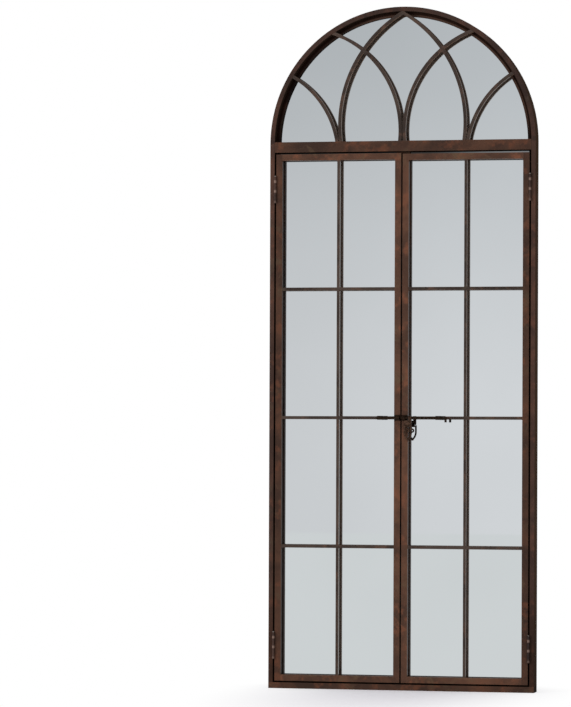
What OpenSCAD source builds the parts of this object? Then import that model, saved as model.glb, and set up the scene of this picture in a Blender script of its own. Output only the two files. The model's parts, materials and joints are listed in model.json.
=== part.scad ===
// Arched wall mirror with pointed tracery in its head and a pair of
// glassless lattice shutters, closed by a sliding bolt with a ring pull.
// Millimetres, +Z up, front towards -Y, origin under the middle of the sill.

/* [Frame] */
// overall width of the arched frame
frame_w = 710; // [600:10:820]
// overall height to the crown of the arch
frame_h = 1790; // [1500:10:2100]
// depth of the frame from front to wall
frame_d = 44; // [40:1:60]
// width of the flat bar that makes the hoop and the jambs
bar_face = 12; // [10:1:16]
// height of the sill
sill_h = 15.5; // [12:0.5:24]
// height of the transom under the arch
transom_h = 27.5; // [20:0.5:40]
// height of the transom's top above the springing of the arch
transom_rise = 4; // [2:0.5:12]

/* [Mirror and back] */
// depth from the frame's front to the rebate strips
rebate_set = 19; // [19:0.5:22]
// width of the straight rebate strips
rebate_w = 8.5; // [6:0.5:14]
// width of the rebate strip in the arch
arch_rebate_w = 12; // [8:0.5:16]
// thickness of the rebate strips
rebate_t = 5; // [3:0.5:7]
// thickness of the mirror glass
mirror_t = 4; // [3:0.5:5]
// thickness of the backing board
board_t = 3; // [2:0.5:4]
// gap between the edge of the glass and the frame
mirror_gap = 0.5; // [0.3:0.1:2]
// length of the clips that hold the backing board
clip_l = 16; // [12:1:24]
// reach of the clips over the backing board
clip_reach = 20; // [12:1:26]
// number of clips on each jamb
jamb_clips = 3; // [2:1:5]

/* [Wall hangers] */
// width of the hanger plates
hanger_w = 28; // [22:1:36]
// height of the hanger plates
hanger_h = 40; // [30:1:60]
// thickness of the hanger plates
hanger_t = 3; // [2:0.5:4]
// radius of the holes that take the wall hooks
hanger_hole = 4; // [3:0.5:6]
// drop of the hanger holes below the springing of the arch
hanger_drop = 75; // [60:5:120]

/* [Shutters] */
// thickness of the stiles and rails
shutter_t = 18; // [14:0.5:18]
// width of the stiles
stile_w = 16.5; // [15.5:0.5:22]
// height of the top and bottom rails
rail_h = 16.5; // [12:0.5:24]
// width of the upright glazing bars
muntin_w = 7; // [5:0.5:10]
// height of the level glazing bars
bar_h = 8; // [7:0.5:10]
// thickness of the glazing bars
muntin_t = 8; // [5:0.5:14]
// gap between the stiles and the jambs
jamb_gap = 4.5; // [4.2:0.1:6]
// gap between the two meeting stiles
meet_gap = 4; // [3.6:0.1:5]
// gap under the transom
top_gap = 5; // [3:0.5:8]
// gap over the sill
bottom_gap = 4.5; // [3.5:0.5:8]
// how much shorter the right shutter is at its head
right_trim = 2; // [0:0.5:3]
// openings from bottom to top of each shutter
panes = 4; // [4:2:8]

/* [Tracery] */
// width of the tracery bars
trace_w = 8.5; // [6:0.5:10]
// thickness of the tracery bars
trace_t = 8; // [5:0.5:18]
// height of the main arcs' centres above the springing
main_rise = 48; // [20:2:70]
// how far the main arcs meet below the hoop's inner edge
main_drop = 3; // [1:0.5:6]
// radius of the inner arcs
inner_r = 275; // [255:5:300]
// height of the inner arcs' centres above the springing
inner_rise = 30.5; // [20:0.5:50]
// distance of the inner arcs' feet from the middle
inner_foot = 6.6; // [6:0.1:16]
// radius of the outer arcs
outer_r = 250.5; // [220:0.5:290]
// depth of the outer arcs' centres below the springing
outer_fall = 39; // [20:1:60]
// distance of the outer arcs' feet beyond the glazing bars below
outer_foot = 5; // [4:0.5:16]

/* [Door stop] */
// width of the stop tab
stop_w = 36; // [24:1:60]
// drop of the stop tab below the transom
stop_drop = 20; // [10:1:30]
// thickness of the stop tab
stop_t = 3; // [2:0.5:5]

/* [Hinges] */
// height of each hinge
hinge_h = 70; // [54:1:90]
// thickness of the hinge leaves
leaf_t = 1.5; // [1:0.1:1.8]
// depth of the hinge leaves behind the front
leaf_d = 14; // [12:0.5:14]
// radius of the hinge knuckles
knuckle_r = 3.25; // [2.9:0.05:3.4]
// distance of the pins in front of the frame
pin_out = 3.5; // [3.5:0.1:4.5]
// radius of the hinge pins
pin_r = 1.5; // [1.2:0.1:1.8]
// running clearance around the hinge pins
pin_clear = 0.05; // [0.02:0.01:0.1]
// height of the lower hinges' middle above the shutter's foot
hinge_low = 93; // [60:1:140]
// depth of the upper hinges' middle below the shutter's head
hinge_high = 93; // [60:1:140]

/* [Bolt] */
// radius of the bolt rod
rod_r = 3; // [2.5:0.1:3.5]
// length of the bolt rod from its tip to the outside of its bent tail
rod_l = 123; // [123:0.5:140]
// drop of the rod's bent tail below its axis
tail_drop = 11.5; // [9:0.5:16]
// distance of the rod's tip from the middle line at rest
rod_tip = 0.3; // [0.1:0.1:0.8]
// clearance around the rod in its guides
rod_clear = 0.3; // [0.2:0.05:0.5]
// wall of the guides around the rod
guide_wall = 1.9; // [1.4:0.1:2.2]
// thickness of the guide and keeper plates
plate_t = 1.2; // [1:0.1:1.6]
// height of the plates on the meeting stiles
plate_h = 15; // [13:0.5:20]
// distance of the bar guide from the middle line
guide_x = 93.5; // [93:0.5:94]
// length of the bar guide's barrel
guide_l = 14.5; // [11:0.5:14.5]
// wall of the keeper sleeve
sleeve_wall = 0.7; // [0.5:0.1:0.9]
// distance from the middle line to the far end of the bar keeper
keeper_x = 62; // [54:1:80]
// length of the bar keeper's barrel
keeper_l = 14; // [10:1:20]

/* [Ring pull] */
// distance of the pull's collar from the middle line
pull_x = 25.5; // [25.5:0.5:27]
// width of the collar on the rod
collar_w = 8; // [6:0.5:8]
// width of the pull's plate
pull_w = 19.5; // [18:0.5:24]
// height of the pull's plate
pull_h = 11.5; // [10:0.5:14]
// thickness of the pull's plate
pull_t = 3.5; // [2.5:0.5:4]
// radius of the ring's bar
ring_bar = 2.4; // [2:0.1:2.6]
// overall width of the ring
ring_w = 22.5; // [22:0.5:28]
// drop of the ring's straight sides below its pin
ring_side = 15.5; // [13:0.5:22]
// radius of the ring's curved lower sides
bow_r = 26; // [24:1:32]
// radius of the ring's pin
ring_pin = 1.6; // [1.2:0.1:1.8]

/* [Screws] */
// radius of the screws' shanks
shank_r = 1.5; // [1.2:0.1:1.7]
// radius of the screws' heads
head_r = 2.9; // [2.5:0.1:3.1]
// length of the screws in the frame and the clips
screw_l = 9; // [6:0.5:9]
// length of the screws in the shutters
shutter_screw_l = 12; // [8:0.5:13]
// radius of the latch screws' heads
small_head_r = 1.9; // [1.6:0.1:2]
// length of the latch screws
small_screw_l = 6; // [4:0.5:6]

/* [Hidden] */
$fn = 48;
big_fn = 144;
eps = 0.01;
half_w = frame_w / 2;
spring_z = frame_h - half_w;
hoop_in = half_w - bar_face;
transom_top = spring_z + transom_rise;
transom_low = transom_top - transom_h;
glass_y = rebate_set + rebate_t;
board_y = glass_y + mirror_t;
back_y = board_y + board_t;
// shutter outline, measured on the left shutter
shutter_x = [meet_gap / 2, hoop_in - jamb_gap];
shutter_z = [sill_h + bottom_gap, transom_low - top_gap];
daylight_x = [shutter_x[0] + stile_w, shutter_x[1] - stile_w];
daylight_z = [shutter_z[0] + rail_h, shutter_z[1] - rail_h];
muntin_x = (daylight_x[0] + daylight_x[1]) / 2;
pane_h = (daylight_z[1] - daylight_z[0]) / panes;
latch_z = daylight_z[0] + pane_h * panes / 2;
lap = muntin_t / 2;
// tracery centres and radii
main_z = spring_z + main_rise;
crown_z = spring_z + hoop_in - main_drop;
main_r = sqrt(pow(muntin_x, 2) + pow(crown_z - main_z, 2));
inner_z = spring_z + inner_rise;
inner_x = inner_foot + sqrt(pow(inner_r, 2) - pow(inner_z - transom_top, 2));
outer_z = spring_z - outer_fall;
outer_x = muntin_x + outer_foot + sqrt(pow(outer_r, 2) - pow(transom_top - outer_z, 2));
// hinges
pin_x = hoop_in - jamb_gap / 2;
knuckle_gap = 0.3;
knuckle_free = knuckle_r + knuckle_gap;
low_hinge_z = shutter_z[0] + hinge_low - hinge_h / 2;
high_hinge_z = shutter_z[1] - hinge_high - hinge_h / 2;
hinge_zs = [low_hinge_z, high_hinge_z];
knuckle_z = [hinge_h / 3, hinge_h * 2 / 3];
pin_head_r = pin_r + 1;
pin_head_h = 1.5;
leaf_screw_y = leaf_d - head_r - 2.5;
leaf_screw_zs = [hinge_h / 6, hinge_h / 2, hinge_h * 5 / 6];
// latch
guide_r = rod_r + rod_clear + guide_wall;
bore_r = rod_r + rod_clear;
sleeve_r = bore_r + sleeve_wall;
collar_r = rod_r + 2;
collar_gap = 0.5;
rod_y = -(plate_t + collar_gap + collar_r);
plate_x = [meet_gap / 2 + 0.7, meet_gap / 2 + stile_w - 0.2];
loop_x = [plate_x[0] + 0.3, plate_x[0] + 9.3];
plate_screw_x = plate_x[1] - 3.1;
plate_screw_z = plate_h / 2 - 3;
lug = 4.4;
keeper_lump = [-keeper_x, -keeper_x + keeper_l];
guide_lump = [guide_x, guide_x + guide_l];
tail_x = rod_tip + rod_l - rod_r;
// ring pull, hung below one end of the collar
pull_end = pull_x + collar_w / 2;
ring_x = pull_end - pull_w / 2;
pull_top = latch_z - guide_r - 1.5;
pull_low = pull_top - pull_h;
barrel_r = ring_pin + 1.5;
barrel_w = 11;
ring_z = pull_low - barrel_r + 0.1;
ring_mid = ring_w / 2 - ring_bar;
// the curved sides stop inside the bead at the ring's foot
foot_turn = acos((bow_r - ring_mid) / bow_r);
foot_drop = ring_side + bow_r * sin(foot_turn);
bead_r = ring_bar / sin(foot_turn) + 0.2;
bow_turn = foot_turn - (ring_bar / tan(foot_turn) + 0.05) / bow_r * 180 / PI;
scroll_r = 3.7;
scroll_bar = 2.1;
scroll_drop = 12;
// screw details
head_h = 1.2;
screw_gap = 0.1;
small_shank_r = 1.1;
small_head_h = 0.9;

// ---- shared shapes, with y measured from the front of the frame ----

function span(middle, width) = [middle - width / 2, middle + width / 2];

module seat() translate([0, -frame_d / 2, 0]) children();

module slab(x, y, z)
    translate([min(x), y[0], z[0]])
        cube([max(x) - min(x), y[1] - y[0], z[1] - z[0]]);

module rod_along_x(r, x, y, z)
    translate([min(x), y, z]) rotate([0, 90, 0]) cylinder(r = r, h = max(x) - min(x));

module rod_along_y(r, x, y, z, n = $fn)
    translate([x, y[0], z]) rotate([-90, 0, 0]) cylinder(r = r, h = y[1] - y[0], $fn = n);

module rod_along_z(r, x, y, z)
    translate([x, y, z[0]]) cylinder(r = r, h = z[1] - z[0]);

// arch-headed plate that fills the frame's opening less a margin
module opening(margin, y, low = sill_h) {
    slab([-hoop_in + margin, hoop_in - margin], y, [low, spring_z]);
    rod_along_y(hoop_in - margin, 0, y, spring_z, big_fn);
}

module screw_body(grow = 0, l = screw_l) {
    cylinder(h = head_h, r1 = head_r + grow, r2 = shank_r + grow);
    cylinder(h = l + grow, r = shank_r + grow);
}

module screw(l = screw_l)
    difference() {
        screw_body(0, l);
        translate([-head_r, -0.4, -eps]) cube([2 * head_r, 0.8, 0.5]);
    }

module small_screw_body(grow = 0) {
    cylinder(h = small_head_h, r1 = small_head_r + grow, r2 = small_shank_r + grow);
    cylinder(h = small_screw_l + grow, r = small_shank_r + grow);
}

module small_screw()
    difference() {
        small_screw_body();
        translate([-small_head_r, -0.3, -eps]) cube([2 * small_head_r, 0.6, 0.4]);
    }

// ---- places of repeated pieces ----

// clips: local +X points at the frame, local Z runs along it
module at_clips(arch = true, jambs = [-1, 1], foot = true) {
    clip_r = sqrt(pow(hoop_in, 2) - pow(clip_l / 2, 2));
    if (arch)
        for (a = [30, 90, 150])
            translate([0, 0, spring_z]) rotate([0, -a, 0]) translate([clip_r, 0, 0]) children();
    for (s = jambs)
        for (i = [0 : jamb_clips - 1])
            translate([s * hoop_in, 0, sill_h + (i + 0.4) * (transom_low - sill_h) / jamb_clips])
                rotate([0, 0, s > 0 ? 0 : 180]) mirror([0, s > 0 ? 0 : 1, 0]) children();
    if (foot)
        for (x = [-muntin_x, muntin_x])
            translate([x, 0, sill_h]) rotate([0, 90, 0]) children();
}

module clip_screw_place()
    translate([-leaf_t, (back_y + frame_d) / 2, 0]) rotate([0, 90, 0]) children();

module clip_bores(arch, jambs, foot)
    at_clips(arch, jambs, foot) clip_screw_place() screw_body(screw_gap);

// screws of the leaves on the jambs, pointing outwards
module at_frame_leaf_screws(sides = [-1, 1])
    for (s = sides)
        for (z0 = hinge_zs)
            for (z = leaf_screw_zs)
                translate([s * (hoop_in - leaf_t), leaf_screw_y, z0 + z])
                    rotate([0, 90 * s, 0]) children();

// screws of the leaves on the stiles, pointing inwards
module at_shutter_leaf_screws(s)
    for (z0 = hinge_zs)
        for (z = leaf_screw_zs)
            translate([s * (shutter_x[1] + leaf_t), leaf_screw_y, z0 + z])
                rotate([0, -90 * s, 0]) children();

// latch screws, pointing into the shutter's face
module into_face() translate([0, -plate_t, 0]) rotate([-90, 0, 0]) children();

module at_stile_plate_screws(s)
    for (z = [-plate_screw_z, plate_screw_z])
        translate([s * plate_screw_x, 0, latch_z + z]) into_face() children();

// screws at both ends of a plate that carries one barrel
module at_lug_screws(lump)
    for (x = lump + [-lug / 2, lug / 2])
        translate([x, 0, latch_z]) into_face() children();

// ---- frame ----

module arch_hoop() color([0.33, 0.22, 0.18]) seat()
    difference() {
        rod_along_y(half_w, 0, [0, frame_d], spring_z, big_fn);
        rod_along_y(hoop_in, 0, [-1, frame_d + 1], spring_z, big_fn);
        slab([-half_w - 1, half_w + 1], [-1, frame_d + 1], [spring_z - half_w - 1, spring_z]);
        clip_bores(true, [], false);
    }

module jamb(s)
    difference() {
        slab([s * hoop_in, s * half_w], [0, frame_d], [sill_h, spring_z]);
        clip_bores(false, [s], false);
        at_frame_leaf_screws([s]) screw_body(screw_gap);
    }

module left_jamb() color([0.33, 0.22, 0.18]) seat() jamb(-1);

module right_jamb() color([0.33, 0.22, 0.18]) seat() jamb(1);

module sill() color([0.33, 0.22, 0.18]) seat()
    difference() {
        slab([-half_w, half_w], [0, frame_d], [0, sill_h]);
        clip_bores(false, [], true);
    }

module transom() color([0.33, 0.22, 0.18]) seat()
    intersection() {
        slab([-half_w, half_w], [0, rebate_set], [transom_low, transom_top]);
        opening(0, [-1, rebate_set + 1]);
    }

module arch_rebate() color([0.25, 0.17, 0.14]) seat()
    difference() {
        rod_along_y(hoop_in, 0, [rebate_set, glass_y], spring_z, big_fn);
        rod_along_y(hoop_in - arch_rebate_w, 0, [rebate_set - 1, glass_y + 1], spring_z,
            big_fn);
        slab([-half_w, half_w], [rebate_set - 1, glass_y + 1], [spring_z - half_w, spring_z]);
    }

module side_rebate(s)
    slab([s * hoop_in, s * (hoop_in - rebate_w)], [rebate_set, glass_y], [sill_h, spring_z]);

module left_rebate() color([0.25, 0.17, 0.14]) seat() side_rebate(-1);

module right_rebate() color([0.25, 0.17, 0.14]) seat() side_rebate(1);

module sill_rebate() color([0.25, 0.17, 0.14]) seat()
    slab([-hoop_in + rebate_w, hoop_in - rebate_w], [rebate_set, glass_y],
        [sill_h, sill_h + rebate_w]);

module door_stop() color([0.33, 0.22, 0.18]) seat()
    slab([-stop_w / 2, stop_w / 2], [rebate_set, rebate_set + stop_t],
        [transom_low - stop_drop, transom_low + transom_h * 0.7]);

// ---- tracery in the head ----

module ring_bar_2(x, z, r, y)
    difference() {
        rod_along_y(r + trace_w / 2, x, y, z, big_fn);
        rod_along_y(r - trace_w / 2, x, [y[0] - 1, y[1] + 1], z, big_fn);
    }

// the part of the head that belongs to one side, above the transom
module head_half(s)
    intersection() {
        rod_along_y(hoop_in, 0, [-1, trace_t + 1], spring_z, big_fn);
        slab([0, s * half_w], [-2, trace_t + 2], [transom_top, frame_h]);
    }

module main_arc(s, y)
    intersection() {
        ring_bar_2(-s * muntin_x, main_z, main_r, y);
        head_half(s);
    }

module inner_arc(s, y)
    intersection() {
        ring_bar_2(s * inner_x, inner_z, inner_r, y);
        head_half(s);
    }

module outer_arc(s)
    intersection() {
        ring_bar_2(s * outer_x, outer_z, outer_r, [0, trace_t]);
        head_half(s);
    }

// crossing bars are halved into each other
module main_tracery(s)
    difference() {
        main_arc(s, [0, trace_t]);
        ring_bar_2(s * inner_x, inner_z, inner_r, [trace_t / 2, trace_t + 2]);
    }

module inner_tracery(s)
    difference() {
        inner_arc(s, [0, trace_t]);
        ring_bar_2(-s * muntin_x, main_z, main_r, [-2, trace_t / 2]);
    }

module outer_left_tracery() color([0.36, 0.25, 0.2]) seat() outer_arc(-1);

module main_left_tracery() color([0.36, 0.25, 0.2]) seat() main_tracery(-1);

module inner_left_tracery() color([0.36, 0.25, 0.2]) seat() inner_tracery(-1);

module inner_right_tracery() color([0.36, 0.25, 0.2]) seat() inner_tracery(1);

module main_right_tracery() color([0.36, 0.25, 0.2]) seat() main_tracery(1);

module outer_right_tracery() color([0.36, 0.25, 0.2]) seat() outer_arc(1);

// ---- mirror, back and wall hangers ----

module mirror_glass() color([0.75, 0.79, 0.82]) seat()
    opening(mirror_gap, [glass_y, board_y]);

module backing_board() color([0.45, 0.33, 0.22]) seat()
    opening(mirror_gap, [board_y, back_y]);

module backing_clips() color([0.5, 0.5, 0.5]) seat()
    at_clips()
        difference() {
            union() {
                slab([-leaf_t, 0], [back_y, frame_d - 1], [-clip_l / 2, clip_l / 2]);
                slab([-clip_reach, 0], [back_y, back_y + leaf_t], [-clip_l / 2, clip_l / 2]);
            }
            clip_screw_place() screw_body(screw_gap);
        }

module clip_screws() color([0.65, 0.65, 0.66]) seat()
    at_clips() clip_screw_place() screw();

module wall_hanger(s)
    difference() {
        slab([s * (hoop_in - hanger_w), s * hoop_in], [frame_d - hanger_t, frame_d],
            [spring_z - hanger_drop - hanger_h / 2, spring_z - hanger_drop + hanger_h / 2]);
        rod_along_y(hanger_hole, s * (hoop_in - hanger_w / 2),
            [frame_d - hanger_t - 1, frame_d + 1], spring_z - hanger_drop);
    }

module left_wall_hanger() color([0.3, 0.3, 0.3]) seat() wall_hanger(-1);

module right_wall_hanger() color([0.3, 0.3, 0.3]) seat() wall_hanger(1);

// ---- hinges ----

module frame_leaf(s, z0)
    difference() {
        union() {
            slab([s * (hoop_in - leaf_t), s * hoop_in], [0, leaf_d], [z0, z0 + hinge_h]);
            for (z = [[0, knuckle_z[0]], [knuckle_z[1], hinge_h]]) {
                slab([s * (hoop_in - leaf_t), s * hoop_in], [-pin_out, eps],
                    [z0 + z[0], z0 + z[1]]);
                rod_along_z(knuckle_r, s * pin_x, -pin_out, [z0 + z[0], z0 + z[1]]);
            }
        }
        rod_along_z(knuckle_free, s * pin_x, -pin_out, [z0 + knuckle_z[0], z0 + knuckle_z[1]]);
        rod_along_z(pin_r + pin_clear, s * pin_x, -pin_out, [z0 - 1, z0 + hinge_h + 1]);
        at_frame_leaf_screws([s]) screw_body(screw_gap);
    }

module upper_left_frame_leaf() color([0.28, 0.2, 0.17]) seat() frame_leaf(-1, hinge_zs[1]);

module lower_left_frame_leaf() color([0.28, 0.2, 0.17]) seat() frame_leaf(-1, hinge_zs[0]);

module upper_right_frame_leaf() color([0.28, 0.2, 0.17]) seat()
    frame_leaf(1, hinge_zs[1]);

module lower_right_frame_leaf() color([0.28, 0.2, 0.17]) seat()
    frame_leaf(1, hinge_zs[0]);

module shutter_leaf(s, z0)
    difference() {
        union() {
            slab([s * shutter_x[1], s * (shutter_x[1] + leaf_t)], [0, leaf_d],
                [z0, z0 + hinge_h]);
            slab([s * shutter_x[1], s * (shutter_x[1] + leaf_t)], [-pin_out, eps],
                [z0 + knuckle_z[0] + knuckle_gap, z0 + knuckle_z[1] - knuckle_gap]);
            rod_along_z(knuckle_r, s * pin_x, -pin_out,
                [z0 + knuckle_z[0] + knuckle_gap, z0 + knuckle_z[1] - knuckle_gap]);
        }
        for (z = [[-1, knuckle_z[0] + knuckle_gap], [knuckle_z[1] - knuckle_gap, hinge_h + 1]])
            rod_along_z(knuckle_free, s * pin_x, -pin_out, [z0 + z[0], z0 + z[1]]);
        rod_along_z(pin_r + pin_clear, s * pin_x, -pin_out, [z0 - 1, z0 + hinge_h + 1]);
        at_shutter_leaf_screws(s) screw_body(screw_gap);
    }

module upper_left_shutter_leaf() color([0.28, 0.2, 0.17]) seat()
    shutter_leaf(-1, hinge_zs[1]);

module lower_left_shutter_leaf() color([0.28, 0.2, 0.17]) seat()
    shutter_leaf(-1, hinge_zs[0]);

module upper_right_shutter_leaf() color([0.28, 0.2, 0.17]) seat()
    shutter_leaf(1, hinge_zs[1]);

module lower_right_shutter_leaf() color([0.28, 0.2, 0.17]) seat()
    shutter_leaf(1, hinge_zs[0]);

module hinge_pins() color([0.6, 0.58, 0.55]) seat()
    for (s = [-1, 1])
        for (z0 = hinge_zs)
            translate([s * pin_x, -pin_out, z0]) {
                cylinder(r = pin_r, h = hinge_h + eps);
                translate([0, 0, hinge_h]) cylinder(r = pin_head_r, h = pin_head_h);
            }

module frame_leaf_screws() color([0.65, 0.62, 0.58]) seat()
    at_frame_leaf_screws() screw();

module left_leaf_screws() color([0.65, 0.62, 0.58]) seat()
    at_shutter_leaf_screws(-1) screw(shutter_screw_l);

module right_leaf_screws() color([0.65, 0.62, 0.58]) seat()
    at_shutter_leaf_screws(1) screw(shutter_screw_l);

// ---- shutters, s = -1 left, 1 right ----

function trim(s) = s > 0 ? right_trim : 0;

function stile_z(s) = [shutter_z[0], shutter_z[1] - trim(s)];

function muntin_z(s) = [daylight_z[0], daylight_z[1] - trim(s)];

module hinge_stile(s)
    difference() {
        slab([s * daylight_x[1], s * shutter_x[1]], [0, shutter_t], stile_z(s));
        at_shutter_leaf_screws(s) screw_body(screw_gap, shutter_screw_l);
    }

module meeting_stile(s)
    difference() {
        slab([s * shutter_x[0], s * daylight_x[0]], [0, shutter_t], stile_z(s));
        at_stile_plate_screws(s) small_screw_body(screw_gap);
    }

module rail(s, z)
    slab([s * daylight_x[0], s * daylight_x[1]], [0, shutter_t], z);

function bar_height(i) = daylight_z[0] + i * pane_h;

module muntin(s)
    difference() {
        slab(s * span(muntin_x, muntin_w), [0, muntin_t], muntin_z(s));
        for (i = [1 : panes - 1])
            slab([0, s * half_w], [-1, lap], span(bar_height(i), bar_h));
    }

module lattice_bar(s, i)
    difference() {
        slab(s * daylight_x, [0, muntin_t], span(bar_height(i), bar_h));
        slab(s * span(muntin_x, muntin_w), [lap, muntin_t + 1], daylight_z);
    }

module left_hinge_stile() color([0.34, 0.23, 0.19]) seat() hinge_stile(-1);

module left_meeting_stile() color([0.34, 0.23, 0.19]) seat() meeting_stile(-1);

module left_top_rail() color([0.34, 0.23, 0.19]) seat()
    rail(-1, [muntin_z(-1)[1], stile_z(-1)[1]]);

module left_bottom_rail() color([0.34, 0.23, 0.19]) seat()
    rail(-1, [shutter_z[0], daylight_z[0]]);

module left_muntin() color([0.34, 0.23, 0.19]) seat() muntin(-1);

module left_upper_bar() color([0.34, 0.23, 0.19]) seat()
    for (i = [panes / 2 + 1 : panes - 1]) lattice_bar(-1, i);

module left_middle_bar() color([0.34, 0.23, 0.19]) seat()
    difference() {
        lattice_bar(-1, panes / 2);
        at_lug_screws(keeper_lump) small_screw_body(screw_gap);
    }

module left_lower_bar() color([0.34, 0.23, 0.19]) seat()
    for (i = [1 : panes / 2 - 1]) lattice_bar(-1, i);

module right_hinge_stile() color([0.34, 0.23, 0.19]) seat() hinge_stile(1);

module right_meeting_stile() color([0.34, 0.23, 0.19]) seat() meeting_stile(1);

module right_top_rail() color([0.34, 0.23, 0.19]) seat()
    rail(1, [muntin_z(1)[1], stile_z(1)[1]]);

module right_bottom_rail() color([0.34, 0.23, 0.19]) seat()
    rail(1, [shutter_z[0], daylight_z[0]]);

module right_muntin() color([0.34, 0.23, 0.19]) seat() muntin(1);

module right_upper_bar() color([0.34, 0.23, 0.19]) seat()
    for (i = [panes / 2 + 1 : panes - 1]) lattice_bar(1, i);

module right_middle_bar() color([0.34, 0.23, 0.19]) seat()
    difference() {
        lattice_bar(1, panes / 2);
        at_lug_screws(guide_lump) small_screw_body(screw_gap);
    }

module right_lower_bar() color([0.34, 0.23, 0.19]) seat()
    for (i = [1 : panes / 2 - 1]) lattice_bar(1, i);

// ---- latch ----

// barrel that stands on a plate, before its bore is cut
module barrel(x, r) {
    rod_along_x(r, x, rod_y, latch_z);
    slab(x, [rod_y, -plate_t / 2], [latch_z - r, latch_z + r]);
}

module stile_loop(s)
    difference() {
        union() {
            slab(s * plate_x, [-plate_t, 0], [latch_z - plate_h / 2, latch_z + plate_h / 2]);
            barrel(s * loop_x, guide_r);
        }
        rod_along_x(bore_r, s * [0, half_w], rod_y, latch_z);
        at_stile_plate_screws(s) small_screw_body(screw_gap);
    }

module stile_keeper() color([0.1, 0.1, 0.1]) seat() stile_loop(-1);

module stile_guide() color([0.1, 0.1, 0.1]) seat() stile_loop(1);

// tube between the keepers that takes the rod when it is pushed home
module keeper_sleeve() color([0.13, 0.12, 0.12]) seat()
    difference() {
        rod_along_x(sleeve_r, [-keeper_x + 1, -loop_x[1]], rod_y, latch_z);
        rod_along_x(bore_r, [-keeper_x, 0], rod_y, latch_z);
    }

// plate with one barrel, screwed along a lattice bar
module bar_loop(lump, r)
    difference() {
        union() {
            slab(lump + [-lug, lug], [-plate_t, 0], span(latch_z, bar_h));
            barrel(lump, guide_r);
        }
        rod_along_x(r, lump + [-1, 1], rod_y, latch_z);
        at_lug_screws(lump) small_screw_body(screw_gap);
    }

module muntin_keeper() color([0.1, 0.1, 0.1]) seat() bar_loop(keeper_lump, sleeve_r);

module keeper_screws() color([0.15, 0.14, 0.14]) seat() {
    at_stile_plate_screws(-1) small_screw();
    at_lug_screws(keeper_lump) small_screw();
}

module bar_guide() color([0.1, 0.1, 0.1]) seat() bar_loop(guide_lump, bore_r);

module guide_screws() color([0.15, 0.14, 0.14]) seat() {
    at_stile_plate_screws(1) small_screw();
    at_lug_screws(guide_lump) small_screw();
}

// rod with a chamfered tip and a tail bent down at its other end
module bolt_rod() color([0.12, 0.11, 0.11]) seat() {
    rod_along_x(rod_r, [rod_tip + 1, tail_x], rod_y, latch_z);
    translate([tail_x, rod_y, latch_z]) sphere(r = rod_r);
    rod_along_z(rod_r, tail_x, rod_y, [latch_z - tail_drop, latch_z]);
    translate([rod_tip, rod_y, latch_z]) rotate([0, 90, 0])
        cylinder(r1 = rod_r - 1, r2 = rod_r, h = 1 + eps);
}

module pull_hanger() color([0.14, 0.12, 0.11]) seat()
    difference() {
        union() {
            rod_along_x(collar_r, span(pull_x, collar_w), rod_y, latch_z);
            slab(span(pull_x, collar_w), span(rod_y, pull_t),
                [pull_top - 1, latch_z]);
            slab([pull_end - pull_w, pull_end], span(rod_y, pull_t), [pull_low, pull_top]);
            rod_along_x(barrel_r, span(ring_x, barrel_w), rod_y, ring_z);
        }
        rod_along_x(rod_r, [0, half_w], rod_y, latch_z);
        rod_along_x(ring_pin + rod_clear / 3, [0, half_w], rod_y, ring_z);
    }

// round bar bent in the ring's plane, angles from +X towards +Z
module bent_bar(bar, r, place, from, turn)
    translate(place) rotate([90, 0, 0]) rotate([0, 0, from])
        rotate_extrude(angle = turn) translate([r, 0]) circle(r = bar);

// drop-shaped ring with a scroll inside, hung on its own top bar
module ring_pull() color([0.16, 0.13, 0.12]) seat()
    translate([ring_x, rod_y, ring_z]) {
        rod_along_x(ring_pin, ring_mid * [-1, 1], 0, 0);
        for (s = [-1, 1]) {
            translate([s * ring_mid, 0, 0]) sphere(r = ring_bar);
            rod_along_z(ring_bar, s * ring_mid, 0, [-ring_side, 0]);
            bent_bar(ring_bar, bow_r, [s * (ring_mid - bow_r), 0, -ring_side],
                s > 0 ? -bow_turn : 180, bow_turn);
        }
        translate([0, 0, -foot_drop]) sphere(r = bead_r);
        bent_bar(scroll_bar, scroll_r, [-1.1, 0, -scroll_drop], 0, 360);
    }

arch_hoop();
left_jamb();
right_jamb();
sill();
transom();
arch_rebate();
left_rebate();
right_rebate();
sill_rebate();
outer_left_tracery();
main_left_tracery();
inner_left_tracery();
inner_right_tracery();
main_right_tracery();
outer_right_tracery();
door_stop();
mirror_glass();
backing_board();
backing_clips();
clip_screws();
left_wall_hanger();
right_wall_hanger();
upper_left_frame_leaf();
lower_left_frame_leaf();
upper_right_frame_leaf();
lower_right_frame_leaf();
hinge_pins();
frame_leaf_screws();
left_hinge_stile();
left_meeting_stile();
left_top_rail();
left_bottom_rail();
left_muntin();
left_upper_bar();
left_middle_bar();
left_lower_bar();
upper_left_shutter_leaf();
lower_left_shutter_leaf();
left_leaf_screws();
stile_keeper();
keeper_sleeve();
muntin_keeper();
keeper_screws();
right_hinge_stile();
right_meeting_stile();
right_top_rail();
right_bottom_rail();
right_muntin();
right_upper_bar();
right_middle_bar();
right_lower_bar();
upper_right_shutter_leaf();
lower_right_shutter_leaf();
right_leaf_screws();
stile_guide();
bar_guide();
guide_screws();
bolt_rod();
pull_hanger();
ring_pull();
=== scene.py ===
"""Looks of the shutter mirror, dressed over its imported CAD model. Metres, +Z up, front towards -Y."""
import json
import math

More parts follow.
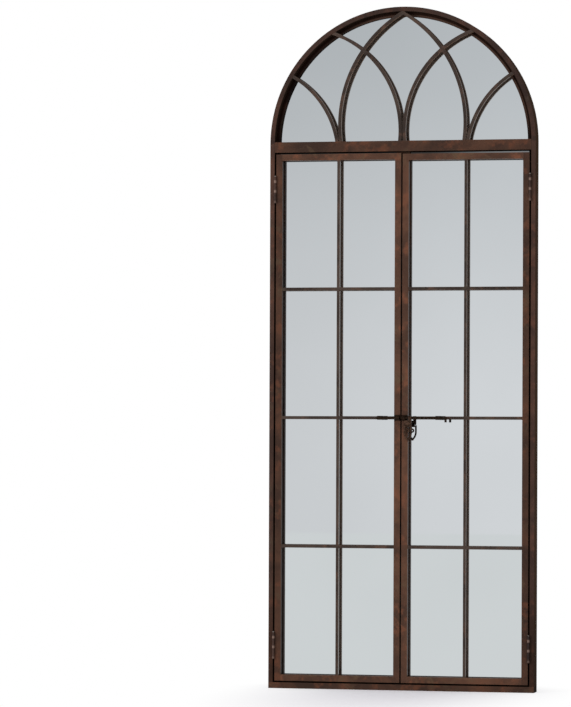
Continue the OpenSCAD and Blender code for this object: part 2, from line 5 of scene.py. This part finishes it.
import bpy
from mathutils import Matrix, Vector


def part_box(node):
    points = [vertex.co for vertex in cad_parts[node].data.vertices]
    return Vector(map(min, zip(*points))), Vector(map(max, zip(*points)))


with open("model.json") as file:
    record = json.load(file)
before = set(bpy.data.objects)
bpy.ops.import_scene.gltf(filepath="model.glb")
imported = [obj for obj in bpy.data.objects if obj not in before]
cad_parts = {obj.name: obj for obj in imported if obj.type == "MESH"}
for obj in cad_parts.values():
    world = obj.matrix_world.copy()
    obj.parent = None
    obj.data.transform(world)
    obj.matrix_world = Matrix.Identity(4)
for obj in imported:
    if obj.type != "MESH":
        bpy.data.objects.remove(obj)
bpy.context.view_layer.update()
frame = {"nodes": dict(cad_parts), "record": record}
NODES = frame["nodes"]
scene = bpy.context.scene
X, Y, Z = 0, 1, 2


# ---- places on the mirror, read from the frame ----

def low(node, axis):
    """Lowest coordinate of a CAD node along one axis."""
    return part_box(node)[0][axis]


FRONT = low("sill", Y)
SPRING = low("arch_hoop", Z)
HOOP_IN = low("right_jamb", X)
TRANSOM_LOW = low("transom", Z)
HINGE_FEET = (low("lower_left_frame_leaf", Z), low("upper_left_frame_leaf", Z))


# ---- shader maths ----

class Sock:
    """A node's output that can be used in Python expressions."""

    def __init__(self, graph, socket):
        self.graph = graph
        self.socket = socket

    def _do(self, operation, a, b):
        return self.graph.make("ShaderNodeMath", {"operation": operation}, {0: a, 1: b})

    def __add__(self, other):
        return self._do("ADD", self, other)

    def __radd__(self, other):
        return self._do("ADD", other, self)

    def __sub__(self, other):
        return self._do("SUBTRACT", self, other)

    def __rsub__(self, other):
        return self._do("SUBTRACT", other, self)

    def __mul__(self, other):
        return self._do("MULTIPLY", self, other)

    def __rmul__(self, other):
        return self._do("MULTIPLY", other, self)

    def __truediv__(self, other):
        return self._do("DIVIDE", self, other)

    def __pow__(self, other):
        return self._do("POWER", self, other)

    def at_least(self, floor):
        return self._do("MAXIMUM", self, floor)

    def clamp(self, lowest, highest):
        return self.graph.make("ShaderNodeClamp", {}, {"Value": self, "Min": lowest, "Max": highest})

    def band(self, start, end):
        """0 up to start, 1 from end on, smooth between."""
        return self.graph.make("ShaderNodeMapRange", {"interpolation_type": "SMOOTHSTEP"},
                               {"Value": self, "From Min": start, "From Max": end})


class Graph:
    """Builds one node tree."""

    def __init__(self, tree):
        self.tree = tree
        tree.nodes.clear()

    def make(self, kind, settings=None, inputs=None, out=0):
        """Add a node with its settings and the values or links of its sockets."""
        node = self.tree.nodes.new(kind)
        for key, value in (settings or {}).items():
            setattr(node, key, value)
        for key, value in (inputs or {}).items():
            self.plug(node.inputs[key], value)
        return Sock(self, node.outputs[out]) if node.outputs else None

    def plug(self, socket, value):
        if isinstance(value, Sock):
            self.tree.links.new(value.socket, socket)
        else:
            socket.default_value = value

    def xyz(self):
        return self.make("ShaderNodeTexCoord", out="Object")

    def split(self, vector, axis):
        return self.make("ShaderNodeSeparateXYZ", {}, {"Vector": vector}, out=axis)

    def place(self, axis):
        """Object coordinate along one axis."""
        return self.split(self.xyz(), axis)

    def facing(self, axis):
        """How far the surface looks along one axis, from -1 to 1."""
        return self.split(self.make("ShaderNodeTexCoord", out="Normal"), axis)

    def scaled(self, vector, factors):
        return self.make("ShaderNodeVectorMath", {"operation": "MULTIPLY"}, {0: vector, 1: factors})

    def noise(self, scale, detail=4.0, rough=0.55, vector=None, warp=0.0):
        inputs = {"Scale": scale, "Detail": detail, "Roughness": rough, "Distortion": warp,
                  "Vector": vector or self.xyz()}
        return self.make("ShaderNodeTexNoise", {}, inputs)

    def blend(self, amount, a, b):
        """Mix of two colours, given as values or sockets."""
        # a Mix node keeps its colour sockets at 6 and 7, and its colour result at 2
        node = self.tree.nodes.new("ShaderNodeMix")
        node.data_type = "RGBA"
        self.plug(node.inputs[0], amount)
        for key, value in ((6, a), (7, b)):
            self.plug(node.inputs[key], value if isinstance(value, Sock) else (*value, 1.0))
        return Sock(self, node.outputs[2])

    def bump(self, height, strength, distance, normal):
        inputs = {"Height": height, "Strength": strength, "Distance": distance, "Normal": normal}
        return self.make("ShaderNodeBump", {}, inputs)

    def soft_edges(self, radius):
        return self.make("ShaderNodeBevel", {"samples": 4}, {"Radius": radius})

    def edges(self, radius):
        """1 along the outer edges of a piece, 0 on its flats."""
        plain = self.make("ShaderNodeNewGeometry", out="True Normal")
        turned = self.make("ShaderNodeVectorMath", {"operation": "DOT_PRODUCT"},
                           {0: self.soft_edges(radius), 1: plain}, out="Value")
        return (1.0 - turned).band(0.0, 0.2)

    def light_path(self, ray):
        return self.make("ShaderNodeLightPath", out=ray)

    def surface(self, **sockets):
        """Principled shader as the material's surface."""
        inputs = {}
        for key, value in sockets.items():
            name = key.replace("_", " ").title().replace("Ior", "IOR")
            if name == "Base Color" and not isinstance(value, Sock):
                value = (*value, 1.0)
            inputs[name] = value
        shader = self.make("ShaderNodeBsdfPrincipled", {}, inputs)
        self.make("ShaderNodeOutputMaterial", {}, {"Surface": shader})


def material(name, build, **options):
    mat = bpy.data.materials.new(name)
    mat.use_nodes = True
    build(Graph(mat.node_tree), **options)
    return mat


# ---- patina of the flat bars ----

# paler worn iron; along the edges it is also a painted highlight
WEAR_AND_EDGE_LIGHT = (0.17, 0.10, 0.065)
# painted shade of the side faces
SIDE_SHADING = (0.012, 0.007, 0.005)
# painted shade in the corner under the hoop
CORNER_SHADE = (0.008, 0.003, 0.002)
# the jambs darker towards the bottom
FOOT_DARK = (0.012, 0.005, 0.003)
# painted highlight across the hinge's knuckles
KNUCKLE_GLINT = (0.26, 0.18, 0.145)
LIT_LIP = (0.10, 0.055, 0.038)
WARM_SHEEN = (1.0, 0.6, 0.4, 1.0)
# from where to where each shade fades
REVEAL_END = (HOOP_IN + 0.0001, HOOP_IN + 0.0009)
CORNER_START = (HOOP_IN - 0.0080, HOOP_IN - 0.0055)
CROWN_ACROSS = (-0.22, -0.03)
CROWN_UP = (SPRING, SPRING + 0.1)
LIP_END = (FRONT + 0.0055, FRONT + 0.0085)
WAX_END = (SPRING + 0.14, SPRING + 0.22)
FOOT_END = (0.10, 0.30)
KNUCKLE_END = (FRONT - 0.0008, FRONT - 0.0002)
# the same as squares of distances: from the middle line, and from a knuckle's painted highlight line
GAP_END = (0.00001, 0.00004)
GLINT_END = (0.000002, 0.00002)


def from_middle(g):
    """Distance from the mirror's upright middle line, and from the arch's centre above the spring."""
    x = g.place(X)
    above = (g.place(Z) - SPRING).at_least(0.0)
    return (x * x + above * above) ** 0.5


def reveal(g):
    """1 on the inner sides of the hoop and the jambs, which stay in deep shade."""
    return 1.0 - from_middle(g).band(*REVEAL_END)


def sides(g):
    """1 on faces that look aside, up or down, 0 on those that look to the front or the back."""
    along = g.facing(Y)
    return 1.0 - (along * along).band(0.2, 0.5)


def mottled(g, cloud, patch, mid, dark, rust, olive):
    """The patina's ground: large clouds, rusty patches and olive drifts."""
    colour = g.blend(cloud.band(0.38, 0.66), dark, mid)
    colour = g.blend(patch.band(0.50, 0.68) * 0.8, colour, rust)
    drift = g.noise(19.0, 5.0, 0.6, warp=1.0)
    return g.blend(drift.band(0.55, 0.70) * 0.7, colour, olive)


def inner_hoop(g, colour, lift):
    """Painted light, paler from the crown to the right, and painted shade in the corner under the hoop.
    """
    crown = g.place(X).band(*CROWN_ACROSS) * g.place(Z).band(*CROWN_UP)
    colour = g.blend(crown * 0.85, colour, lift)
    # painted shade in the corner under the hoop
    return g.blend(from_middle(g).band(*CORNER_START) * 0.85, colour, CORNER_SHADE)


def knuckle_glint(g, colour, height, amount):
    """Painted highlight: a light line across the hinge's knuckles, where they glint."""
    above = g.place(Z) - height
    line = (1.0 - (above * above).band(*GLINT_END)) * (1.0 - g.place(Y).band(*KNUCKLE_END))
    return g.blend(line * amount, colour, KNUCKLE_GLINT)


def lip_light(g, aside):
    """1 on the front few millimetres of the side faces, but not inside the meeting gap: where the
    painted light of the lit lip goes.
    """
    x = g.place(X)
    return aside * (1.0 - g.place(Y).band(*LIP_END)) * (x * x).band(*GAP_END)


def patina(g, mid, dark, rust, olive, wear_and_edge_light=WEAR_AND_EDGE_LIGHT, wear=1.0, rough=0.62, soft=0.0007,
           shade=None, side=SIDE_SHADING, worn_lit_edges=0.0, lift=None, gloss=0.0, lip=None, rear_light=None,
           foot=0.0, shine=0.13, glints=()):
    """Rust-brown patina over welded flat bar: mottled, dusty and rubbed on its edges, with painted
    light and shade on its edges, side faces, front lips and backs.
    """
    cloud = g.noise(7.0, 5.0, 0.6, warp=0.6)
    patch = g.noise(31.0, 6.0, 0.62)
    grain = g.noise(160.0, 5.0, 0.7)
    speck = g.noise(620.0, 3.0, 0.7)
    aside = sides(g)
    colour = mottled(g, cloud, patch, mid, dark, rust, olive)
    # painted light on the rebate ring, paler towards the crown
    if lift:
        colour = inner_hoop(g, colour, lift)
    colour = g.blend((grain * 0.6 + speck * 0.4).band(0.56, 0.72) * 0.5 * wear, colour, wear_and_edge_light)
    colour = g.blend(speck.band(0.60, 0.74) * 0.6, colour, dark)
    # edges paler: rubbed wear, and a painted highlight where they catch the light
    if worn_lit_edges:
        colour = g.blend(g.edges(0.0012) * worn_lit_edges, colour, wear_and_edge_light)
    # painted shade: faces that look aside, up or down take a tone of their own
    colour = g.blend(aside * 0.85, colour, side)
    for height, amount in glints:
        colour = knuckle_glint(g, colour, height, amount)
    if shade:
        colour = g.blend(reveal(g), colour, shade)
    # darker towards the bottom
    if foot:
        colour = g.blend((1.0 - g.place(Z).band(*FOOT_END)) * foot, colour, FOOT_DARK)
    matt = 0.35
    wax = {}
    if lip:
        # painted light on the front lip of the side faces
        lip_lit = lip_light(g, aside)
        colour = g.blend(lip_lit * 0.85, colour, lip)
        matt = 0.0
        wax = dict(coat_weight=lip_lit * (1.0 - g.place(Z).band(*WAX_END)) * gloss, coat_roughness=0.2)
    # painted light on the back faces, which the mirror shows
    if rear_light:
        colour = g.blend(g.facing(Y).band(0.5, 0.8) * 0.8, colour, rear_light)
    pits = patch * 0.5 + grain * 0.35 + speck * 0.15
    dull = (grain - 0.5) * 0.35 + (patch - 0.5) * 0.2 + aside * matt
    g.surface(base_color=colour, roughness=(rough + dull).clamp(0.25, 0.97), metallic=0.0,
              normal=g.bump(pits, 0.5, 0.0006, g.soft_edges(soft)), specular_ior_level=shine,
              specular_tint=WARM_SHEEN, **wax)


# ---- latch, fastenings, mirror and board ----

LATCH_SHEEN = (1.0, 0.7, 0.5, 1.0)
TARNISH = (0.2, 0.14, 0.09)
# the dark line on the mirror under the transom
UNDER_SHADE = (0.02, 0.014, 0.010)
UNDER_START = (TRANSOM_LOW - 0.007, TRANSOM_LOW - 0.005)
UNDER_END = (TRANSOM_LOW, TRANSOM_LOW + 0.002)


def waxed_iron(g, base, rubbed, rough=0.46, rub=0.5):
    """Dark waxed iron, hammered a little and rubbed brown."""
    dents = g.noise(240.0, 3.0, 0.5)
    fine = g.noise(900.0, 4.0, 0.6)
    colour = g.blend(dents.band(0.42, 0.62) * rub, base, rubbed)
    normal = g.bump(dents * 0.7 + fine * 0.3, 0.5, 0.0004, g.soft_edges(0.0004))
    g.surface(base_color=colour, roughness=(rough + (fine - 0.5) * 0.4).clamp(0.2, 0.8),
              metallic=0.1, normal=normal, specular_ior_level=0.15, specular_tint=LATCH_SHEEN)


def steel(g, base, rough=0.4):
    """Plain or zinc-plated steel with a little tarnish."""
    spots = g.noise(130.0, 5.0, 0.65)
    fine = g.noise(800.0, 3.0, 0.6)
    colour = g.blend(spots.band(0.52, 0.72) * 0.6, base, TARNISH)
    g.surface(base_color=colour, roughness=(rough + (spots - 0.5) * 0.5).clamp(0.2, 0.9),
              metallic=0.85, normal=g.bump(fine, 0.3, 0.0002, g.soft_edges(0.0003)))


def silvering(g, tint):
    """Silvered glass: faintly hazy and tinted, and dark where it meets the transom."""
    haze = g.noise(2.2, 3.0, 0.5)
    smear = g.noise(9.0, 4.0, 0.6, g.scaled(g.xyz(), (1.0, 1.0, 0.35)))
    colour = g.blend(haze.band(0.35, 0.7) * 0.35, tint, tuple(c * 0.93 for c in tint))
    z = g.place(Z)
    under = z.band(*UNDER_START) * (1.0 - z.band(*UNDER_END))
    colour = g.blend(under * (0.95 - g.place(X).band(0.05, 0.30) * 0.3), colour, UNDER_SHADE)
    g.surface(base_color=colour, roughness=0.015 + smear.band(0.5, 0.8) * 0.03, metallic=1.0)


def hardboard(g, base, pale):
    """Brown hardboard: pressed fibres with a fine weave on its face."""
    fibre = g.noise(420.0, 4.0, 0.7, g.scaled(g.xyz(), (1.0, 1.0, 0.25)))
    cloud = g.noise(6.0, 5.0, 0.6)
    wave = g.make("ShaderNodeTexWave", {"wave_type": "BANDS", "bands_direction": "DIAGONAL"},
                  {"Scale": 160.0, "Distortion": 2.0, "Detail": 2.0, "Vector": g.xyz()}, out="Fac")
    colour = g.blend(cloud.band(0.35, 0.7) * 0.6, base, pale)
    colour = g.blend(fibre.band(0.5, 0.7) * 0.5, colour, tuple(c * 0.6 for c in base))
    weave = g.make("ShaderNodeBump", {}, {"Height": wave * 0.4 + fibre * 0.6, "Strength": 0.4,
                                          "Distance": 0.0004})
    g.surface(base_color=colour, roughness=0.82, normal=weave)


# ---- finishes of the pieces ----

FRAME = dict(mid=(0.074, 0.036, 0.023), dark=(0.036, 0.021, 0.016), rust=(0.106, 0.042, 0.024),
             olive=(0.066, 0.043, 0.027), wear_and_edge_light=(0.140, 0.084, 0.057), side=(0.007, 0.004, 0.003),
             worn_lit_edges=0.3)
HINGE_STILE = dict(FRAME, lip=LIT_LIP, gloss=0.2)
JAMB = dict(mid=(0.070, 0.036, 0.026), dark=(0.037, 0.022, 0.018), rust=(0.094, 0.041, 0.027),
            olive=(0.060, 0.040, 0.028), wear_and_edge_light=(0.120, 0.079, 0.059), shade=(0.016, 0.009, 0.006),
            side=(0.044, 0.023, 0.010), foot=0.55)
HOOP = dict(JAMB, mid=(0.047, 0.027, 0.021), dark=(0.026, 0.017, 0.015), rust=(0.066, 0.032, 0.023),
            olive=(0.042, 0.031, 0.024), foot=0.0)
SHUTTER = dict(mid=(0.110, 0.052, 0.032), dark=(0.056, 0.030, 0.021), rust=(0.150, 0.059, 0.033),
               olive=(0.096, 0.059, 0.035), side=(0.022, 0.008, 0.004), wear=1.1, worn_lit_edges=0.35,
               lip=LIT_LIP, gloss=0.5)
STRIP = dict(mid=(0.060, 0.044, 0.036), dark=(0.030, 0.023, 0.020), rust=(0.086, 0.050, 0.036),
             olive=(0.058, 0.047, 0.036), wear_and_edge_light=(0.130, 0.094, 0.072), side=(0.05, 0.033, 0.024),
             wear=1.2, worn_lit_edges=0.5, lip=(0.20, 0.115, 0.070), gloss=0.6, rear_light=(0.150, 0.100, 0.076))
# the rebate ring in the recess: painted shade, nearly black, with painted light towards the crown
SHADED_REBATE = dict(mid=(0.022, 0.013, 0.010), dark=(0.008, 0.006, 0.006), rust=(0.036, 0.017, 0.012),
              olive=(0.018, 0.014, 0.011), wear=0.4, lift=(0.062, 0.034, 0.024), shine=0.03)
# heights of the painted highlight lines above a hinge's foot, with their strength
GLINT_LINES = ((0.0565, 0.6), (0.031, 0.6), (0.0025, 0.25))
HINGE = dict(mid=(0.060, 0.036, 0.029), dark=(0.022, 0.017, 0.017), rust=(0.110, 0.052, 0.034),
             olive=(0.056, 0.044, 0.032), wear=1.8, rough=0.5, soft=0.0003,
             glints=[(foot + up, amount) for foot in HINGE_FEET for up, amount in GLINT_LINES])

RECIPES = {
    "frame_iron": (patina, FRAME),
    "hoop_iron": (patina, HOOP),
    "jamb_iron": (patina, JAMB),
    "shutter_iron": (patina, SHUTTER),
    "hinge_stile_iron": (patina, HINGE_STILE),
    "strip_iron": (patina, STRIP),
    "rebate_iron": (patina, SHADED_REBATE),
    "hinge_iron": (patina, HINGE),
    "mirror": (silvering, dict(tint=(0.80, 0.83, 0.85))),
    "board": (hardboard, dict(base=(0.24, 0.14, 0.08), pale=(0.33, 0.21, 0.12))),
    "zinc_steel": (steel, dict(base=(0.52, 0.52, 0.53))),
    "screw_steel": (steel, dict(base=(0.46, 0.43, 0.39), rough=0.35)),
    "pin_steel": (steel, dict(base=(0.40, 0.36, 0.32), rough=0.32)),
    "latch_iron": (waxed_iron, dict(base=(0.008, 0.005, 0.003), rubbed=(0.032, 0.016, 0.010))),
    "ring_iron": (waxed_iron, dict(base=(0.022, 0.012, 0.008), rubbed=(0.105, 0.058, 0.038),
                                   rough=0.42, rub=0.6)),
}
LOOKS = {name: material(name, build, **options) for name, (build, options) in RECIPES.items()}
# pieces with a finish of their own, apart from the one that their material slot names
OWN_FINISH = {
    "arch_hoop": "hoop_iron",
    "left_jamb": "jamb_iron",
    "right_jamb": "jamb_iron",
    "left_hinge_stile": "hinge_stile_iron",
    "right_hinge_stile": "hinge_stile_iron",
    "pull_hanger": "ring_iron",
}
STRIP_NAMES = ("_tracery", "_bar", "_muntin")


def dress(obj, mat):
    obj.data.materials.clear()
    obj.data.materials.append(mat)


for part in frame["record"]["subparts"]:
    node = part["node"]
    look = OWN_FINISH.get(node, part["material_slot"])
    if node.endswith(STRIP_NAMES):
        look = "strip_iron"
    dress(NODES[node], LOOKS[look])


# ---- floor, room and lamps ----

WHITE = (1.0, 1.0, 1.0, 1.0)
BLACK = (0.0, 0.0, 0.0)
LIT_FLOOR = (0.96, 0.94, 0.965, 1.0)
# what the mirror shows
ROOM_FLOOR = (0.750, 0.766, 0.760, 1.0)
ROOM_LOW = (0.790, 0.795, 0.802)
ROOM_HIGH = (0.517, 0.539, 0.552)
ROOM_BEHIND = (0.10, 0.10, 0.10)
LEFT_WALL_DIM = 0.08
# what lights the mirror
LIGHT_FRONT = (0.70, 0.70, 0.72)
LIGHT_BEHIND = (0.16, 0.16, 0.17)
LIGHT_ABOVE = (0.9, 0.9, 0.92)
FLOOR_HALF = 14.0
# how far the floor keeps its light and shade round the sill
SHADE_AHEAD = 1.45
SHADE_BEHIND = 0.35
SHADE_ASIDE = 0.50
FAR = 9.0


def floor_look(g):
    """Floor in light and shade close to the mirror, fading to white; a pale room in the mirror."""
    ahead = 0.0 - g.place(Y)
    along = ahead.clamp(0.0, FAR) / SHADE_AHEAD + (0.0 - ahead).clamp(0.0, FAR) / SHADE_BEHIND
    aside = g.place(X) / SHADE_ASIDE
    near = 1.0 - ((along * along + aside * aside) ** 0.5).band(0.1, 1.0)
    lit = g.make("ShaderNodeBsdfDiffuse", {}, {"Color": LIT_FLOOR})
    white = g.make("ShaderNodeEmission", {}, {"Color": WHITE, "Strength": 1.0})
    room = g.make("ShaderNodeEmission", {}, {"Color": ROOM_FLOOR, "Strength": 1.0})
    faded = g.light_path("Is Camera Ray") * (1.0 - near)
    seen = g.make("ShaderNodeMixShader", {}, {0: faded, 1: lit, 2: white})
    both = g.make("ShaderNodeMixShader", {}, {0: g.light_path("Is Glossy Ray"), 1: seen, 2: room})
    g.make("ShaderNodeOutputMaterial", {}, {"Surface": both})


def world_look(g):
    """White to the camera; a soft grey room in the mirror; light mostly from the front and above."""
    way = g.make("ShaderNodeTexCoord", out="Generated")
    across, along, up = (g.split(way, axis) for axis in (X, Y, Z))
    front = 0.0 - along
    room = g.blend(up.band(0.0, 0.16), ROOM_LOW, ROOM_HIGH)
    left_wall = (1.0 - across.band(-0.24, -0.175)) * front.band(0.8, 0.95)
    room = g.blend(left_wall, room, g.blend(LEFT_WALL_DIM, room, BLACK))
    room = g.blend(front.band(-0.1, 0.55), ROOM_BEHIND, room)
    light = g.blend(front.band(-0.2, 0.8), LIGHT_BEHIND, LIGHT_FRONT)
    light = g.blend(up.band(0.3, 1.0), light, LIGHT_ABOVE)
    colour = g.blend(g.light_path("Is Glossy Ray"), light, room)
    colour = g.blend(g.light_path("Is Camera Ray"), colour, WHITE[:3])
    back = g.make("ShaderNodeBackground", {}, {"Color": colour, "Strength": 1.0})
    g.make("ShaderNodeOutputWorld", {}, {"Surface": back})


def lay_floor():
    mesh = bpy.data.meshes.new("floor")
    corners = [(x * FLOOR_HALF, y * FLOOR_HALF, 0.0) for x, y in ((-1, -1), (1, -1), (1, 1), (-1, 1))]
    mesh.from_pydata(corners, [], [range(4)])
    floor = bpy.data.objects.new("floor", mesh)
    scene.collection.objects.link(floor)
    dress(floor, material("floor", floor_look))


def lamp(name, place, size, power, colour=(1.0, 1.0, 1.0), target=(0.0, 0.0, 0.9)):
    """A square or oblong lamp turned to the middle of the mirror, which never shows it."""
    data = bpy.data.lights.new(name, "AREA")
    data.shape = "RECTANGLE"
    data.size, data.size_y = size
    data.energy = power
    data.color = colour
    obj = bpy.data.objects.new(name, data)
    scene.collection.objects.link(obj)
    obj.location = place
    ahead = Vector(target) - Vector(place)
    obj.rotation_euler = ahead.to_track_quat("-Z", "Y").to_euler()
    obj.visible_glossy = False


scene.view_settings.view_transform = "Standard"
scene.world = bpy.data.worlds.new("studio")
scene.world.use_nodes = True
world_look(Graph(scene.world.node_tree))
lay_floor()
lamp("key", (-4.2, -4.4, 2.0), (1.4, 1.4), 175)
lamp("fill", (3.0, -4.4, 1.6), (1.6, 2.4), 25, (0.95, 0.97, 1.0))


# ---- camera ----

eye = bpy.data.cameras.new("eye")
eye.sensor_width = 36.0
eye.lens = 179.05
eye.shift_x = -0.16695
eye.shift_y = 0.08517
eye.clip_end = 100.0
camera = bpy.data.objects.new("eye", eye)
scene.collection.objects.link(camera)
camera.location = (1.90554, -9.02373, 0.67374)
camera.rotation_euler = [math.radians(angle) for angle in (90.3136, -0.2203, 11.9099)]
scene.camera = camera
